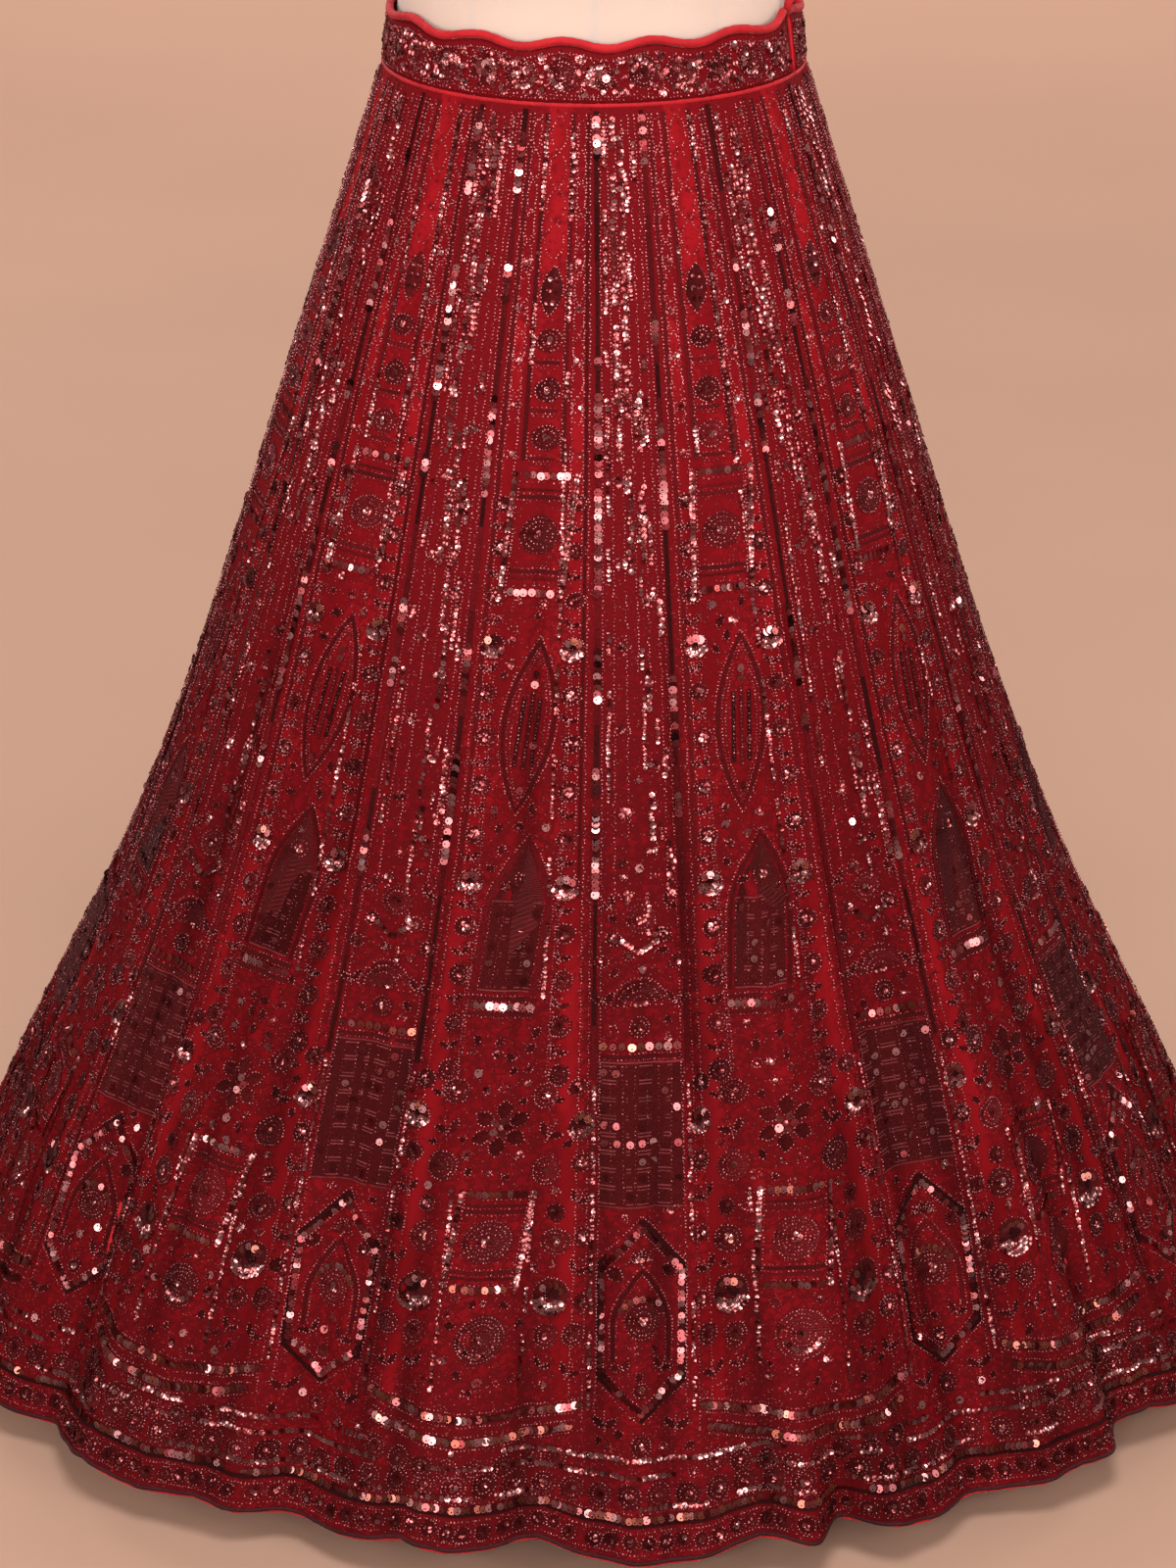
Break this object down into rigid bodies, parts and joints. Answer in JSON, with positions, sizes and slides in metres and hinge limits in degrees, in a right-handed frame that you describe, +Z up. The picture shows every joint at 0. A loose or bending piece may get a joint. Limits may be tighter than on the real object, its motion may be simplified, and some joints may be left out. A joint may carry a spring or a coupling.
{
  "type": "lehenga skirt on a dress form",
  "caption": "Floor-length flared lehenga skirt of sewn panels with an embroidered waistband and a scalloped hem, standing on a limbless dress form with a round stand.",
  "frame": {"origin": "on the floor at the centre of the whole object's box, under the stand's pole", "axes": "+Z up, -Y to the skirt's centre front, +X to the wearer's left"},
  "size_m": [1.0537, 0.9473, 1.5603],
  "materials": {
    "embroidered_net": "red net over red lining, thread embroidery with beads and sequins",
    "band_embroidery": "maroon thread embroidery packed with sequins and beads",
    "red_piping": "satin-faced crepe cord piping",
    "maroon_piping": "narrow maroon cord piping",
    "red_lining": "plain red crepe",
    "form_canvas": "unbleached canvas over padding",
    "stand_metal": "satin enamel"
  },
  "bodies": {
    "root": {"kali_01": "embroidered_net", "kali_02": "embroidered_net", "kali_03": "embroidered_net", "kali_04": "embroidered_net", "kali_05": "embroidered_net", "kali_06": "embroidered_net", "kali_07": "embroidered_net", "kali_08": "embroidered_net", "kali_09": "embroidered_net", "kali_10": "embroidered_net", "kali_11": "embroidered_net", "kali_12": "embroidered_net", "waistband_front": "band_embroidery", "waistband_back": "band_embroidery", "waist_piping_top": "red_piping", "waist_piping_seam": "red_piping", "hem_piping": "maroon_piping", "hem_facing": "red_lining", "form_torso": "form_canvas", "form_neck_cap": "stand_metal", "form_stand": "stand_metal"}
  },
  "joints": []
}
